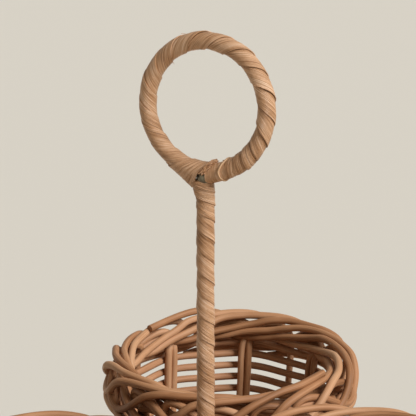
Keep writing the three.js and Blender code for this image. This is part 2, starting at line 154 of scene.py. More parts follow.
# Handle
ROD = 4.8  # steel rod of stem and ring
ROD_SIDES = 32  # of the stem's rod
RING_SIDES = 24  # of the ring's rod
RING_STEPS = 96  # places round the ring
WELD_SIDES = 24
WELD_RADIUS = 3.6  # bead where the two meet
WELD_RISE = 0.5  # its middle, above the stem's rod
RING_RADIUS = 24.8  # middle of the ring's rod
RING_TURN = radians(20.5)  # the ring's plane is turned this much, its right side to the front
RING_LEAN = radians(5.2)  # and it leans this much to the back
PEEL = 0.3  # thickness of the wound peel
PEEL_MOST = 0.8  # the most that laid turns build up
PEEL_LAP = 1.1  # thicknesses that one lap adds
PEEL_RIDGE = 0.1  # height of the fibre ridges along a strip
PEEL_RIDGE_LENGTH = 28.0  # length over which a ridge rises and falls
PEEL_RIDGE_MOST = 2  # times the ridges' height, at most, where a strip is narrowed
PEEL_BULGE = 0.28  # how far a strip lies higher in places
PEEL_BULGE_LENGTH = 14.0  # length over which it does
PEEL_BULGE_SEED = 80  # added to the strip's seed, so that bulges don't follow ridges
PEEL_FRAY = 0.8  # how far a strip's edge strays
PEEL_FRAY_LENGTH = 12.0  # length over which it does
PEEL_FRAY_WAVES = 1.5  # and how often over its width
PEEL_FRAY_SEED = 40  # added to the strip's seed, so that its edge doesn't follow them either
PEEL_PATCH = 0.22  # how far a strip's tone varies
PEEL_PATCH_LENGTH = 35.0  # length over which it does
PEEL_PATCH_WAVES = 2.5  # and how often over its width
PEEL_COLUMNS = 30  # faces over the width of a strip
PEEL_ROWS = 48  # faces in one turn
SEAM_PAINTED_SHADE = 0.28  # painted shade: how much darker a strip is painted where the next one covers it, for the shadow in that seam share of the width over which that painted shade darkens it
SEAM_SHARE = 0.06  # share of the width over which it darkens
EDGE_PALE = 0.16  # how much paler its bare edge is
EDGE_SHARE = 0.07  # share of the width that the pale edge takes
EDGE_PALE_LENGTH = 11.0  # length over which it comes and goes
LOOSE_FIBRE = 0.14  # thickness of a fibre that has come loose
LOOSE_FIBRES = 5  # on each strip
LOOSE_FIBRE_PLACES = (0.03, 0.9)  # least and most share of the strip's length where one starts
LOOSE_FIBRE_REACHES = (0.4, 1.3)  # how far its tip stands out, least and most
LOOSE_FIBRE_BENDS = 4  # stretches that it is bent in
LOOSE_FIBRE_SPANS = (0.5, 0.9)  # least and most length of one of them
LOOSE_FIBRE_STEP = 0.7  # length of one ring of its mesh
WINDING_MARKS = 800  # places where the climb of a winding is added up
STEM_UNDER = 3.25  # the covered edge of a strip on the stem, from the rod's middle
STEM_PEEL_END = radians(90)  # the way that both strips' ends on the stem face
STEM_PITCH = 17.0  # climb of one strip in one turn of the stem
STEM_LAST_PITCH = 8.6  # climb in the last turn, under the ring
STEM_LAST_EDGE = 3.9  # the last bare edge at the front, below the rod's top
STEM_STRIPS = (10.2, 5.6, 3.2)  # height of a strip on the stem, in its last turn and at its end
STEM_CLOSE_TURNS = (1.3, 0.6, -0.3)  # turns before that edge where each of those heights is reached
STEM_PAST_TURNS = 0.3  # turns by which the second strip runs past the end of the first
STEM_SPARE_TURNS = 0.5  # turns past that end for which the climb is known
STEM_FLARE = 2.5  # how far its last turns stand out under the flap
STEM_FLARE_HEIGHT = 8.5  # over this height
STEM_SHOULDER = 1.6  # height over which the last turn closes on the rod
RING_UNDER = 3.1  # the covered edge of a strip on the ring, from the rod's middle
RING_STRIP = 10.9  # width of a strip on the ring
RING_CLOSE_STRIP = 7.5  # width where its turns lie close, right of the joint
RING_CLOSE_PITCH = 18.6  # degrees round the ring in one of those turns
RING_CLOSE_TURNS = (1.2, 2.2)  # turns after which the pitch starts to widen, and is wide
RING_PITCH = 40.0  # degrees in one of the other turns
RING_PEEL_SPAN = (21.0, 328.0)  # degrees of a strip's bare edge at its ends

# Joint of ring and stem
JOINT_ROLL = (-10.0, -350.0)  # degrees about the rod where flap and collar start and end
# Free edge of the flap: degrees about the rod, degrees round the ring, millimetres from the rod's middle
FLAP_EDGE = (
    (-350, -10, 3.7),
    (-300, -5, 3.7),
    (-230, 8, 3.7),
    (-186, 12, 3.8),
    (-138, 5.5, 3.8),
    (-90, -1.5, 3.8),
    (-44, -4.4, 4.6),
    (-18, -6.4, 6.9),
    (-10, -7.4, 7.1),
)
FLAP_WIDTH = 24.0  # degrees round the ring
FLAP_LIFT = 3.85  # its far edge, from the rod's middle
FLAP_SEED = 311.0
CURL_ROLL = (-88.0, -180.0)  # degrees about the rod where the free edge curls over
CURL_RADIUS = 1.35
CURL_TAPER = 0.25  # share by which it is smaller inside the ring
CURL_TURN = (-20.0, 200.0)  # degrees that it curls
CURL_RAGGED = 70.0  # degrees by which that varies
CURL_RAGGED_WAVES = 7  # how often it varies along the edge
CURL_LENGTH = 8.0  # of the strip that is curled
CURL_WIDTH = 3.0
CURL_ROWS = 32  # faces over its length
CURL_COLUMNS = 12  # faces over its width
CURL_FIBRES = 24  # loose fibres in it
CURL_FIBRE = 0.32  # their thickness
CURL_FIBRE_BENDS = 6
CURL_FIBRE_SPREADS = (0.35, 1.0)  # least and most share of the curl's width where one lies
CURL_FIBRE_STARTS = (-0.05, 0.3)  # least and most share of its length where one starts
CURL_FIBRE_ENDS = (0.6, 1.08)  # and where it ends
CURL_FIBRE_STRAY = 0.2  # share of the width by which a bend is off
CURL_FIBRE_WOBBLE = 0.1
CURL_FIBRE_STEP = 0.5  # length of one ring of its mesh
COLLAR_SPAN = (4.5, 30.0)  # degrees round the ring
COLLAR_LIFT = 3.4
COLLAR_FLARE = 1.3  # how far it stands out below, beside the stem
COLLAR_RIDGE = 0.5  # height of its ridges, as a share of the strips'
COLLAR_SEED = 512.0
BINDING = 0.8  # thin cane that holds the collar
BINDING_ARC = 6.0  # degrees about the rod between its places
BINDING_SPANS = 2  # places on its route from one of those to the next
BINDING_WOBBLE = 0.05
BINDING_STEP = 0.6  # length of one ring of its mesh
BINDING_SEED = 77.0
# Its bends: degrees about the rod, degrees round the ring
BINDING_BENDS = (
    (150, 24),
    (60, 21),
    (20, 19.5),
    (-26, 18.5),
    (-60, 17.8),
    (-94, 18),
    (-126, 22),
    (-154, 26.5),
    (-180, 28),
    (-215, 29),
)

# Ties: which gap of the weave, counted from the table, each one goes through
STEM_TIE_GAPS = {"back": (6, 13), "left": (3, 11), "right": (1, 9)}
CUP_TIE_GAPS = (3, 11)
CUP_TIE_ROWS = 2  # rounds of weaving that a tie between two cups takes in
TIE_STEP = 0.9  # length of one ring of a tie's mesh
TIE_ARC_BENDS = 8  # bends in each arc of a stem tie
TIE_LAP = radians(50)  # by which the ends of a stem tie pass each other
TIE_CLIMB = 2.7  # how far the ends of a stem tie rise and drop
CUP_TIE_LAP = 3.6  # how far each end of a tie between cups passes the middle
CUP_TIE_SHIFT = 3.0  # sideways step between those two ends
CUP_TIE_TURN = pi / 6  # between stake 0 and the next cup, as seen from a cup's middle

# Tones: places on a material's scale of shades, from 0, dark, to 1, pale. Pairs are least and most.
SPOKE_TONES = (0.3, 0.74)
WEAVER_TONES = (0.45, 0.58)
BASE_WEAVER_TONES = (0.4, 0.6)
HOOP_TONE = 0.5
PEEL_TONES = (0.5, 0.58)
LOOSE_FIBRE_TONE = 0.5
FLAP_TONE = 0.56
# The curl and its loose fibres are painted darker than their own tone: painted shade, for the shadow that
# the curl lies in
CURL_SHADED_TONE = 0.42
CURL_FIBRE_SHADED_TONES = (0.1, 0.75)
# The collar is painted a little darker than its own tone: painted shade, for the shadow that it lies in
COLLAR_SHADED_TONE = 0.54
BINDING_TONE = 0.95
TIE_TONES = (0.4, 0.7)

# Patterns of the materials
NOISE_SPAN = (0.3, 0.7)  # most of a noise lies between these
BUNDLE_SCALE = 0.42  # of the fibres' pattern, so that a bundle is two or three fibres wide
BUNDLE_SHARE = 0.55  # of the fibres' contrast
BLOTCH_REACH = 0.14  # how far blotches shift the shade
DULL_SPAN = (-0.1, 0.12)  # how far the fibres shift the roughness
STEEL_PATCH = 1.6  # spacing of the darker patches on steel

# Picture
FLOOR_REACH = 30.0  # metres, so that it fills the low views too
FLOOR_GAP = 0.0002  # metres, below the hoops
FLOOR_COLOUR = "#d9d5cc"
FLOOR_ROUGHNESS = 0.9
KEY_AZIMUTH = radians(62)  # from the front to the right
KEY_ELEVATION = radians(42)
KEY_SPREAD = radians(25)
KEY_STRENGTH = 3.6
FILL_COLOUR = "#fdf0d8"  # even light from all round
FILL_STRENGTH = 0.2
PHOTO_PIXELS = 416
FOCAL_PIXELS = 1951.1  # focal length, in pixels of the photo
SENSOR = 36.0  # width
CAMERA_BACK = 702.0  # from the stem, level
CAMERA_HEIGHT = 432.7
CAMERA_PITCH = radians(18.19)
CAMERA_AZIMUTH = radians(5.6)
CAMERA_ASIDE = 0.9  # to the right, which puts the stem left of the picture's middle


def linear(colour):
    """A linear RGBA colour from an sRGB hex value."""
    parts = [int(colour[place:place + 2], 16) / 255 for place in (1, 3, 5)]
    return [part / 12.92 if part <= 0.04045 else ((part + 0.055) / 1.055) ** 2.4 for part in parts] + [1.0]


def add_node(tree, kind, inputs=None, **settings):
    """Adds a node with its settings. An input takes a value, or the socket that it is linked to."""
    made = tree.nodes.new(kind)
    for key, value in settings.items():
        setattr(made, key, value)
    for key, value in (inputs or {}).items():
        if isinstance(value, bpy.types.NodeSocket):
            tree.links.new(value, made.inputs[key])
        else:
            made.inputs[key].default_value = value
    return made


def set_ramp(ramp_node, stops):
    """Sets a colour ramp's stops from pairs of place and hex colour."""
    elements = ramp_node.color_ramp.elements
    while len(elements) < len(stops):
        elements.new(0.5)
    for element, (place, colour) in zip(elements, stops):
        element.position = place
        element.color = linear(colour)


def new_material(name):
    """A material with a plain shader, its node tree and that shader."""
    material = bpy.data.materials.new(name)
    material.use_nodes = True
    tree = material.node_tree
    tree.nodes.clear()
    shader = add_node(tree, "ShaderNodeBsdfPrincipled")
    add_node(tree, "ShaderNodeOutputMaterial", {"Surface": shader.outputs["BSDF"]})
    return material, tree, shader


def rattan(name, stops, fibre_mm, fibre_length_mm, blotch_mm, contrast=0.16, roughness=0.6, bump=0.35):
    """Dry rattan: matt, with straight fibres along the cane, in bundles, and slow blotches of shade.

    stops are its shades from dark to pale, fibre_mm the spacing of the fibres, fibre_length_mm the length
    over which one shows, blotch_mm the spacing of the blotches, contrast how far fibres differ in shade,
    roughness about the mean of theirs, and bump how strongly they stand out.
    """
    material, tree, shader = new_material(name)
    grain = add_node(tree, "ShaderNodeUVMap", uv_map="grain")
    tone = add_node(tree, "ShaderNodeAttribute", attribute_name="tone")
    place = add_node(tree, "ShaderNodeTexCoord")
    fibre_scale = (1 / (fibre_length_mm * MM), 1 / (fibre_mm * MM), 1.0)
    along_fibre = add_node(
        tree, "ShaderNodeVectorMath", {0: grain.outputs["UV"], 1: fibre_scale}, operation="MULTIPLY",
    )
    fibres = add_node(
        tree, "ShaderNodeTexNoise",
        {"Vector": along_fibre.outputs["Vector"], "Scale": 1.0, "Detail": 3.0, "Roughness": 0.6},
    )
    bundles = add_node(
        tree, "ShaderNodeTexNoise",
        {"Vector": along_fibre.outputs["Vector"], "Scale": BUNDLE_SCALE, "Detail": 2.0, "Roughness": 0.5},
    )
    blotch_scale = 1 / (blotch_mm * MM)
    blotches = add_node(
        tree, "ShaderNodeTexNoise",
        {"Vector": place.outputs["Object"], "Scale": blotch_scale, "Detail": 3.0, "Roughness": 0.55},
    )
    shade = tone.outputs["Fac"]
    least, most = NOISE_SPAN
    reaches = ((fibres, contrast), (bundles, BUNDLE_SHARE * contrast), (blotches, BLOTCH_REACH))
    for pattern, reach in reaches:
        spans = {"From Min": least, "From Max": most, "To Min": -reach, "To Max": reach}
        shift = add_node(tree, "ShaderNodeMapRange", {"Value": pattern.outputs["Fac"], **spans})
        total = add_node(tree, "ShaderNodeMath", {0: shade, 1: shift.outputs["Result"]}, operation="ADD")
        shade = total.outputs["Value"]
    ramp = add_node(tree, "ShaderNodeValToRGB", {"Fac": shade})
    set_ramp(ramp, stops)
    smoother, duller = DULL_SPAN
    dullness = add_node(
        tree, "ShaderNodeMapRange",
        {"Value": fibres.outputs["Fac"], "To Min": roughness + smoother, "To Max": roughness + duller},
    )
    relief = add_node(
        tree, "ShaderNodeBump",
        {"Height": fibres.outputs["Fac"], "Strength": bump, "Distance": fibre_mm * MM},
    )
    tree.links.new(ramp.outputs["Color"], shader.inputs["Base Color"])
    tree.links.new(dullness.outputs["Result"], shader.inputs["Roughness"])
    tree.links.new(relief.outputs["Normal"], shader.inputs["Normal"])
    shader.inputs["Specular IOR Level"].default_value = 0.4
    return material


def drawn_steel():
    """Drawn mild steel rod, dulled by handling, with darker patches. Its brownish grey is partly painted
    reflection: the tint of the surroundings that the steel mirrors, laid into its colour.
    """
    material, tree, shader = new_material("drawn_steel")
    place = add_node(tree, "ShaderNodeTexCoord")
    patch_scale = 1 / (STEEL_PATCH * MM)
    patches = add_node(
        tree, "ShaderNodeTexNoise",
        {"Vector": place.outputs["Object"], "Scale": patch_scale, "Detail": 5.0, "Roughness": 0.6},
    )
    ramp = add_node(tree, "ShaderNodeValToRGB", {"Fac": patches.outputs["Fac"]})
    # Painted reflection: the brownish tint of these greys stands in for the surroundings that the steel
    # mirrors
    set_ramp(ramp, ((0.3, "#5c5344"), (0.7, "#948a74")))
    tree.links.new(ramp.outputs["Color"], shader.inputs["Base Color"])
    shader.inputs["Metallic"].default_value = 0.8
    shader.inputs["Roughness"].default_value = 0.42
    return material


def polar(angle, radius, height):
    """A place at an angle, a distance from the middle and a height."""
    return Vector((radius * cos(angle), radius * sin(angle), height))


def bent_route(points, spans=8):
    """Places on a smooth bend through the points, as many as spans from one point to the next."""
    places = []
    for index in range(len(points) - 1):
        start, end = points[index], points[index + 1]
        before = points[max(index - 1, 0)]
        after = points[min(index + 2, len(points) - 1)]
        reach = (end - start).length / 3
        leaving = start + (end - before).normalized() * reach
        arriving = end - (after - start).normalized() * reach
        places += geometry.interpolate_bezier(start, leaving, arriving, end, spans + 1)[:-1]
    places.append(points[-1])
    return places


def even_places(route, step):
    """The same route as places an even step apart, and its length."""
    places = np.array([tuple(place) for place in route])
    spans = np.linalg.norm(np.diff(places, axis=0), axis=1)
    at = np.concatenate([[0.0], np.cumsum(spans)])
    marks = np.linspace(0.0, at[-1], ceil(at[-1] / step) + 1)
    even = np.stack([np.interp(marks, at, places[:, axis]) for axis in range(3)], axis=1)
    return even, at[-1]


def new_seed(draw):
    """A number that makes the noise and the grain of one cane or strip its own."""
    return draw.uniform(0, SEED_MOST)


def cane_mesh(route, diameter, tone, seed, wobble=CANE_WOBBLE, step=CANE_STEP):
    """A round cane along a route, with its grain map in metres and its tone."""
    places, length = even_places(route, step)
    curve = bpy.data.curves.new("cane", "CURVE")
    curve.dimensions = "3D"
    curve.twist_mode = "MINIMUM"
    curve.bevel_depth = diameter / 2 * MM
    curve.bevel_resolution = CANE_ROUNDNESS
    curve.use_fill_caps = True
    spline = curve.splines.new("POLY")
    spline.points.add(len(places) - 1)
    for index, (point, place) in enumerate(zip(spline.points, places)):
        along = index * step
        stray = noise.noise_vector((along / WOBBLE_LENGTH, seed, STRAY_AT)) * wobble
        point.co = (*((Vector(place) + stray) * MM), 1.0)
        point.radius = 1 + CANE_SWELL * noise.noise((along / SWELL_LENGTH, seed, SWELL_AT))
    holder = bpy.data.objects.new("cane", curve)
    mesh = bpy.data.meshes.new_from_object(holder)
    bpy.data.objects.remove(holder)
    bpy.data.curves.remove(curve)

    mesh.uv_layers["UVMap"].name = "grain"
    grain = mesh.uv_layers["grain"]
    spots = np.empty(2 * len(mesh.loops), np.float32)
    grain.uv.foreach_get("vector", spots)
    spots = spots.reshape(-1, 2) * (length * MM, pi * diameter * MM) + seed * MM
    grain.uv.foreach_set("vector", spots.astype(np.float32).ravel())
    shades = mesh.attributes.new("tone", "FLOAT", "POINT")
    shades.data.foreach_set("value", np.full(len(mesh.vertices), tone, np.float32))
    return mesh


def take_in(shape, mesh):
    """Moves a mesh into a bmesh."""
    shape.from_mesh(mesh)
    bpy.data.meshes.remove(mesh)


def joined(meshes):
    """One bmesh of several meshes, with corners that lie on each other merged."""
    made = bmesh.new()
    for mesh in meshes:
        take_in(made, mesh)
    bmesh.ops.remove_doubles(made, verts=made.verts, dist=MERGE_DISTANCE * MM)
    return made


def add_piece(name, shape, slot, nodes):
    """Puts a finished bmesh into the scene as a piece of the caddy, in its slot's material."""
    mesh = bpy.data.meshes.new(name)
    shape.to_mesh(mesh)
    shape.free()
    mesh.shade_smooth()
    mesh.set_sharp_from_angle(angle=SHARP_ANGLE)
    mesh.materials.append(materials[slot])
    piece = bpy.data.objects.new(name, mesh)
    bpy.context.scene.collection.objects.link(piece)
    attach(piece, "root")
    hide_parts(*nodes)


# Materials, one for each slot
CANE_SHADES = ((0.0, "#714a2c"), (0.3, "#9c6c47"), (0.55, "#b5855f"), (0.8, "#c69974"), (1.0, "#d4ab89"))
WEAVER_SHADES = ((0.0, "#6c472a"), (0.3, "#976845"), (0.55, "#b0805c"), (0.8, "#c39570"), (1.0, "#d2a886"))
PEEL_SHADES = ((0.0, "#64401f"), (0.25, "#9c6f49"), (0.5, "#bd9069"), (0.75, "#d0a683"), (1.0, "#e6c6a8"))
TIE_SHADES = ((0.0, "#70502f"), (0.4, "#9c744e"), (0.7, "#b88f68"), (1.0, "#cda883"))
# The peel's fibres are about a quarter of a millimetre apart, and drawn coarser so that they show.
materials = {
    "cane": rattan("rattan_core_cane", CANE_SHADES, fibre_mm=0.4, fibre_length_mm=24.0, blotch_mm=24.0),
    "weaver": rattan(
        "rattan_core_weaver", WEAVER_SHADES, fibre_mm=0.4, fibre_length_mm=24.0, blotch_mm=24.0,
        roughness=0.62,
    ),
    "peel": rattan(
        "split_rattan_peel", PEEL_SHADES, fibre_mm=0.36, fibre_length_mm=7.0, blotch_mm=16.0,
        contrast=0.34, roughness=0.4, bump=1.0,
    ),
    "tie": rattan("rattan_binding_cane", TIE_SHADES, fibre_mm=0.3, fibre_length_mm=18.0, blotch_mm=18.0),
    "rod": drawn_steel(),
}


# Cups
def middle_of(node):
    """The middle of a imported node, in millimetres."""
    low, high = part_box(node)
    return (low + high) / 2 / MM


def nodes_named(start):
    return sorted(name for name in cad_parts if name.startswith(start))


class Cup:
    """One cup: where it stands, how high it is and the way it faces."""

    def __init__(self, name, degrees_round):
        self.name = name
        self.facing = radians(degrees_round)
        self.height = max(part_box(node)[1].z for node in nodes_named(f"{name}_cup_spoke")) / MM
        hoop = middle_of(f"{name}_cup_foot_hoop")
        self.middle = Vector((hoop.x, hoop.y, 0.0))

    def place(self, angle, radius, height):
        return self.middle + polar(angle, radius, height)


cups = [Cup("back", 90), Cup("left", 210), Cup("right", 330)]
step_angle = tau / STAKES
lanes = STAKES // 4
crossing = lanes / 2 * LANE_PITCH + SPOKE / 2
hoop_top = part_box("back_cup_foot_hoop")[1].z / MM
base_height = hoop_top + SPOKE / 2
wall_start = base_height + CORNER_RADIUS
weave_start = wall_start + WEAVER / 2
stake_offset = (SPOKE + WEAVER) / 2 - WEAVE_WAVE


def weave_radius(height):
    return WALL_FOOT_RADIUS + (WALL_TOP_RADIUS - WALL_FOOT_RADIUS) * height / CUP_HEIGHT


def is_inside(stake):
    return stake % 2 == 0


def stake_angle(cup, stake, height):
    """Stake 0 of a cup faces the middle of the caddy at its foot. All stakes lean the same way."""
    return cup.facing + pi + stake * step_angle + STAKE_LEAN * height / cup.height


def stake_radius(stake, height):
    return weave_radius(height) + (-stake_offset if is_inside(stake) else stake_offset)


def border_start(cup):
    return cup.height - SPOKE / 2 - BORDER_DEPTH


def border_end(cup, stake, bends, draw):
    """The bends of a stake's end in the border, each a little off, as a hand lays them."""
    angle = stake_angle(cup, stake, cup.height)
    rim = cup.height - SPOKE / 2
    middle = weave_radius(cup.height)
    late = draw.uniform(-BORDER_LATE, BORDER_LATE)
    dip_at, dip = RIM_DIPS[cup.name]
    places = []
    for passed, out, up in bends:
        turn = angle + (passed + late * min(passed / BORDER_LATE_FROM, 1)) * step_angle
        from_dip = (turn - radians(dip_at) + pi) % tau - pi
        pressed = dip * exp(-(from_dip / RIM_DIP_SPAN) ** 2) * (1 + up / BORDER_DEPTH)
        height = rim + up - pressed + draw.uniform(-BORDER_OFF, BORDER_OFF)
        radius = middle + out + draw.uniform(-BORDER_OFF, BORDER_OFF)
        places.append(cup.place(turn, radius, height))
    return places


def weave_climb(cup):
    return border_start(cup) + WEAVE_OVER - weave_start


def weave_rounds(cup):
    return round(weave_climb(cup) / WEAVE_PITCH)


def weave_height(cup, rounds):
    """Height of the wall's weaver after some rounds."""
    return weave_start + weave_climb(cup) * rounds / weave_rounds(cup)


def half_spoke(cup, stake, axis, lane, side, raised, draw):
    """The bends of half a spoke, from the crossing in the base to its end in the border."""
    start = Vector((side * crossing, lane * LANE_PITCH, base_height + raised))
    start.rotate(Matrix.Rotation(axis, 3, "Z"))
    bends = [cup.middle + start, cup.place(stake_angle(cup, stake, base_height), BASE_EDGE, base_height)]
    foot = stake_radius(stake, wall_start) - CORNER_RADIUS
    for turn in (0, pi / 6, pi / 3, pi / 2):
        out = foot + CORNER_RADIUS * sin(turn)
        height = wall_start - CORNER_RADIUS * cos(turn)
        bends.append(cup.place(stake_angle(cup, stake, height), out, height))
    for height in np.linspace(wall_start, border_start(cup), WALL_BENDS + 1)[1:]:
        bends.append(cup.place(stake_angle(cup, stake, height), stake_radius(stake, height), height))
    is_short = stake in SHORT_ENDS[cup.name]
    end_bends = STAKE_BENDS[:SHORT_FROM] + SHORT_END_BENDS if is_short else STAKE_BENDS
    return bends + border_end(cup, stake, end_bends, draw)


def by_stake(cup, stake, draw):
    """The bends of the second cane pushed in beside a stake."""
    bends = []
    for height in np.linspace(wall_start, border_start(cup), WALL_BENDS):
        radius = stake_radius(stake, height)
        angle = stake_angle(cup, stake, height) + BY_STAKE_ASIDE / radius
        bends.append(cup.place(angle, radius, height))
    return bends + border_end(cup, stake, BY_STAKE_BENDS, draw)


def add_spokes(cup):
    for layer in (0, 1):
        axis = cup.facing + pi - step_angle / 2 + layer * pi / 2
        raised = LANE_PITCH if layer == 0 else 0.0
        for index in range(lanes):
            node = f"{cup.name}_cup_spoke_{layer * lanes + index + 1}"
            draw = random.Random(node)
            lane = index - (lanes - 1) / 2
            # The stakes that the spoke's two ends become
            first_stake = (layer * lanes + index - lanes // 2) % STAKES
            second_stake = (layer * lanes + 5 * lanes // 2 - 1 - index) % STAKES
            outward = half_spoke(cup, first_stake, axis, lane, 1, raised, draw)
            inward = half_spoke(cup, second_stake, axis, lane, -1, raised, draw)
            bends = [inward[::-1] + outward]
            for stake in (first_stake, second_stake):
                if is_inside(stake):
                    bends.append(by_stake(cup, stake, draw))
            canes = []
            for cane_bends in bends:
                tone = draw.uniform(*SPOKE_TONES)
                canes.append(cane_mesh(bent_route(cane_bends), SPOKE, tone, new_seed(draw)))
            add_piece(f"{node}_canes", joined(canes), "cane", [node])


def add_wall_weavers(cup):
    """Lengths of cane that follow one another up the wall, side by side where one takes over."""
    nodes = nodes_named(f"{cup.name}_cup_wall_weaver")
    length_in_stakes = weave_rounds(cup) * STAKES // len(nodes)
    for number, node in enumerate(nodes):
        draw = random.Random(node)
        is_top = node == nodes[-1]
        first = number * length_in_stakes
        last = first + length_in_stakes + (0 if is_top else 1)
        bends = []
        for stake in range(first, last + 1):
            stray = WEAVE_STRAY * noise.noise((stake * WEAVE_STRAY_STEP, cup.facing, ROUNDS_AT))
            if number > 0 and stake <= first + 1:
                stray += WEAVER / 2
            if not is_top and stake >= last - 1:
                stray -= WEAVER / 2
            height = weave_height(cup, stake / STAKES) + stray
            swing = WEAVE_WAVE if is_inside(stake) else -WEAVE_WAVE
            angle = stake_angle(cup, stake, height)
            bends.append(cup.place(angle, weave_radius(height) + swing, height))
        tone = draw.uniform(*WEAVER_TONES)
        route = bent_route(bends, WEAVER_SPANS)
        mesh = cane_mesh(route, WEAVER, tone, new_seed(draw), wobble=WEAVER_WOBBLE)
        add_piece(f"{node}_cane", joined([mesh]), "weaver", [node])


def add_base_weaver(cup):
    """A pair of canes that twist round each other between the spokes of the base."""
    node = f"{cup.name}_cup_base_weaver"
    draw = random.Random(node)
    rise = (SPOKE + WEAVER) / 2
    meshes = []
    for strand in (0, 1):
        bends = []
        for stake in range(int(BASE_TURNS * STAKES) + 1):
            turns = stake / STAKES
            radius = BASE_START_RADIUS + (BASE_END_RADIUS - BASE_START_RADIUS) * turns / BASE_TURNS
            in_raised_layer = ((stake + lanes // 2) // lanes) % 2 == 0
            inward = max(0.0, (BASE_EDGE - radius) / (BASE_EDGE - crossing))
            lift = LANE_PITCH * inward if in_raised_layer else 0.0
            over = in_raised_layer if turns < GROUPED_TURNS else is_inside(stake)
            side = rise if over == (strand == 0) else -rise
            angle = stake_angle(cup, stake, base_height)
            bends.append(cup.place(angle, radius, base_height + lift + side))
        tone = draw.uniform(*BASE_WEAVER_TONES)
        route = bent_route(bends, WEAVER_SPANS)
        meshes.append(cane_mesh(route, WEAVER, tone, new_seed(draw), wobble=HELD_WOBBLE))
    add_piece(f"{node}_canes", joined(meshes), "weaver", [node])


def add_foot_hoop(cup):
    """A hoop of thick cane, butted at its ends and worn flat where the cup stands on it."""
    node = f"{cup.name}_cup_foot_hoop"
    draw = random.Random(node)
    start = draw.uniform(0, tau)
    turns = np.linspace(start, start + HOOP_SPAN, HOOP_STEPS)
    route = [cup.place(turn, HOOP_RADIUS, hoop_top - HOOP / 2) for turn in turns]
    shape = joined([cane_mesh(route, HOOP, HOOP_TONE, new_seed(draw), wobble=HELD_WOBBLE)])
    for corner in shape.verts:
        corner.co.z = max(corner.co.z, 0.0)
    add_piece(f"{node}_cane", shape, "cane", [node])


for cup in cups:
    add_spokes(cup)
    add_wall_weavers(cup)
    add_base_weaver(cup)
    add_foot_hoop(cup)


# Handle
stem_low, stem_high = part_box("stem_rod")
stem_foot = stem_low.z / MM
stem_top = stem_high.z / MM
stem_axis = middle_of("stem_rod")
stem_axis.z = 0.0
ring_middle = middle_of("ring_rod")
ring_turn = Matrix.Rotation(-RING_TURN, 3, "Z") @ Matrix.Rotation(-RING_LEAN, 3, "X")


def beside_ring(around, roll, lift):
    """A point beside the ring's rod. around is the angle from the foot of the ring to its right, and
    roll the angle about the rod: 0 is outside the ring, -90 degrees its front, 180 degrees inside it."""
    out = RING_RADIUS + lift * cos(roll)
    return ring_middle + ring_turn @ Vector((out * sin(around), lift * sin(roll), -out * cos(around)))


def fibre_height(length, across, seed):
    """Height of the fibres on a strip of peel, at a length along it."""
    return PEEL_RIDGE * noise.noise((across * PEEL_COLUMNS / 2, length / PEEL_RIDGE_LENGTH, seed))


def plain(along, across):
    """The shade of a strip that has the same tone all over."""
    return 0.0


def peel_sheet(place, length, width, rows, columns, tone, seed, shade=plain):
    """A strip of peel laid out by place(along, across), with its grain map, tones and thickness.

    shade(along, across) is how much paler than its tone the strip is there, or darker where it is
    negative; on the wound strips that darkening is painted shade in the seams.
    """
    shape = bmesh.new()
    grain = shape.loops.layers.uv.new("grain")
    shades = shape.verts.layers.float.new("tone")
    bmesh.ops.create_grid(shape, x_segments=columns, y_segments=rows, size=1.0)
    for face in shape.faces:
        for loop in face.loops:
            across, along = (loop.vert.co.x + 1) / 2, (loop.vert.co.y + 1) / 2
            loop[grain].uv = ((along * length + seed) * MM, (across * width + seed) * MM)
    for corner in shape.verts:
        across, along = (corner.co.x + 1) / 2, (corner.co.y + 1) / 2
        patch = noise.noise((along * length / PEEL_PATCH_LENGTH, across * PEEL_PATCH_WAVES, seed))
        corner[shades] = tone + PEEL_PATCH * patch + shade(along, across)
        corner.co = place(along, across) * MM
    # The sheet is doubled, and its copy becomes the inner side of the strip
    shape.normal_update()
    bmesh.ops.reverse_faces(shape, faces=shape.faces)
    inner_side = bmesh.ops.extrude_face_region(shape, geom=shape.faces[:], use_keep_orig=True)["geom"]
    for corner in inner_side:
        if isinstance(corner, bmesh.types.BMVert):
            corner.co += corner.normal * PEEL * MM
    return shape


def add_rods():
    """The stem's rod with its weld, and the ring's rod."""
    shape = bmesh.new()
    middle = stem_axis + Vector((0, 0, (stem_top + stem_foot) / 2))
    bmesh.ops.create_cone(
        shape, cap_ends=True, segments=ROD_SIDES, radius1=ROD / 2 * MM, radius2=ROD / 2 * MM,
        depth=(stem_top - stem_foot) * MM, matrix=Matrix.Translation(middle * MM),
    )
    weld = Matrix.Translation((stem_axis + Vector((0, 0, stem_top + WELD_RISE))) * MM)
    bmesh.ops.create_uvsphere(
        shape, u_segments=WELD_SIDES, v_segments=WELD_SIDES // 2, radius=WELD_RADIUS * MM, matrix=weld,
    )
    add_piece("stem_steel_rod", shape, "rod", ["stem_rod"])

    shape = bmesh.new()
    place = Matrix.Translation(ring_middle * MM) @ ring_turn.to_4x4()
    section = place @ Matrix.Translation((RING_RADIUS * MM, 0, 0))
    bmesh.ops.create_circle(shape, segments=RING_SIDES, radius=ROD / 2 * MM, matrix=section)
    bmesh.ops.spin(
        shape, geom=shape.verts[:] + shape.edges[:], cent=ring_middle * MM,
        axis=ring_turn @ Vector((0, 1, 0)), angle=tau, steps=RING_STEPS, use_merge=True,
    )
    bmesh.ops.remove_doubles(shape, verts=shape.verts, dist=MERGE_DISTANCE * MM)
    bmesh.ops.recalc_face_normals(shape, faces=shape.faces)
    add_piece("ring_steel_rod", shape, "rod", ["ring_rod"])


def built_up(across, width, half_pitch):
    """How far a strip stands out because it laps over the turn before it."""
    return min(PEEL_LAP * PEEL * width / half_pitch, PEEL_MOST) * (1 - across)


